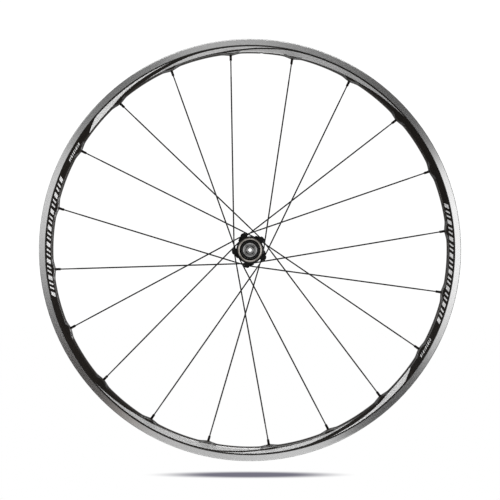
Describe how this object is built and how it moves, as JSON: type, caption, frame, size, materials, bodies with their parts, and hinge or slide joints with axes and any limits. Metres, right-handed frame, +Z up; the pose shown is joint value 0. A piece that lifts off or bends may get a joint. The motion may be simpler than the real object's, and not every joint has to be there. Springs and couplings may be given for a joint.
{
  "type": "rear bicycle wheel",
  "caption": "Rear road bicycle wheel for rim brakes: hollow clincher rim, straight-pull bladed spokes, hub with freehub, and a hollow quick release axle.",
  "frame": {"origin": "wheel centre: on the axle line, midway between the two lock nut faces and in the rim's middle plane", "axes": "+Y along the axle towards the left side, so the drive side faces -Y; +Z up; the wheel spins about Y"},
  "size_m": [0.6339, 0.141, 0.634],
  "materials": {
    "machined_rim": "turned brake tracks, satin",
    "gloss_laminate": "clear-coated black laminate with silver stripes",
    "rim_tape": "matt",
    "black_spoke": "black oxide on stainless steel",
    "black_alloy": "black anodised",
    "black_anodised": "black anodised, satin",
    "freehub_metal": "machined, satin",
    "silver_alloy": "turned",
    "nut_steel": "plated, satin",
    "bearing_steel": "ground and polished",
    "dark_steel": "hardened, oiled",
    "brass_cage": "pressed",
    "rubber_seal": "moulded"
  },
  "bodies": {
    "axle_set": {"axle": "silver_alloy", "drive_cone": "bearing_steel", "left_cone": "bearing_steel", "drive_lock_washer": "nut_steel", "left_spacer": "black_anodised", "drive_lock_nut": "nut_steel", "left_lock_nut": "nut_steel"},
    "wheel": {"rim": "machined_rim", "rim_laminate": "gloss_laminate", "rim_tape": "rim_tape", "drive_spoke_1": "black_spoke", "drive_spoke_2": "black_spoke", "drive_spoke_3": "black_spoke", "drive_spoke_4": "black_spoke", "drive_spoke_5": "black_spoke", "drive_spoke_6": "black_spoke", "drive_spoke_7": "black_spoke", "drive_spoke_8": "black_spoke", "drive_spoke_9": "black_spoke", "drive_spoke_10": "black_spoke", "left_spoke_1": "black_spoke", "left_spoke_2": "black_spoke", "left_spoke_3": "black_spoke", "left_spoke_4": "black_spoke", "left_spoke_5": "black_spoke", "left_spoke_6": "black_spoke", "left_spoke_7": "black_spoke", "left_spoke_8": "black_spoke", "left_spoke_9": "black_spoke", "left_spoke_10": "black_spoke", "drive_nipples": "black_alloy", "left_nipples": "black_alloy", "nipple_washers": "bearing_steel", "hub_shell": "black_anodised", "freehub_carrier": "dark_steel", "freehub_bolt": "dark_steel", "pawl_spring": "bearing_steel", "left_cup": "bearing_steel", "drive_seal": "rubber_seal", "left_seal": "rubber_seal"},
    "freehub": {"freehub_body": "freehub_metal"},
    "freehub_ball_rows": {"freehub_balls": "bearing_steel"},
    "drive_bearing": {"drive_balls": "bearing_steel", "drive_ball_cage": "brass_cage"},
    "left_bearing": {"left_balls": "bearing_steel", "left_ball_cage": "brass_cage"},
    "pawl_1": {"pawl_1": "dark_steel"},
    "pawl_2": {"pawl_2": "dark_steel"},
    "pawl_3": {"pawl_3": "dark_steel"}
  },
  "joints": [
    {"name": "wheel_spin", "type": "hinge", "parent": "axle_set", "child": "wheel", "pos_m": [0, 0, 0], "axis": [0, 1, 0], "continuous": true},
    {"name": "freehub_spin", "type": "hinge", "parent": "wheel", "child": "freehub", "pos_m": [0, -0.04, 0], "axis": [0, 1, 0], "continuous": true},
    {"name": "drive_bearing_roll", "type": "hinge", "parent": "axle_set", "child": "drive_bearing", "pos_m": [0, -0.051, 0], "axis": [0, 1, 0], "continuous": true},
    {"name": "left_bearing_roll", "type": "hinge", "parent": "axle_set", "child": "left_bearing", "pos_m": [0, 0.045, 0], "axis": [0, 1, 0], "continuous": true},
    {"name": "freehub_ball_roll", "type": "hinge", "parent": "wheel", "child": "freehub_ball_rows", "pos_m": [0, -0.035, 0], "axis": [0, 1, 0], "continuous": true},
    {"name": "pawl_1_tilt", "type": "hinge", "parent": "wheel", "child": "pawl_1", "pos_m": [0.012, -0.0325, -0.0032], "axis": [0, 1, 0], "range_deg": [0, 10]},
    {"name": "pawl_2_tilt", "type": "hinge", "parent": "wheel", "child": "pawl_2", "pos_m": [-0.00323, -0.0325, 0.01199], "axis": [0, 1, 0], "range_deg": [0, 10]},
    {"name": "pawl_3_tilt", "type": "hinge", "parent": "wheel", "child": "pawl_3", "pos_m": [-0.00877, -0.0325, -0.00879], "axis": [0, 1, 0], "range_deg": [0, 10]}
  ],
  "couplings": [
    {"joint": "drive_bearing_roll", "follows": "wheel_spin", "ratio": 0.5817},
    {"joint": "left_bearing_roll", "follows": "wheel_spin", "ratio": 0.5817},
    {"joint": "freehub_ball_roll", "follows": "freehub_spin", "ratio": 0.5428},
    {"joint": "pawl_2_tilt", "follows": "pawl_1_tilt", "ratio": 1},
    {"joint": "pawl_3_tilt", "follows": "pawl_1_tilt", "ratio": 1}
  ]
}
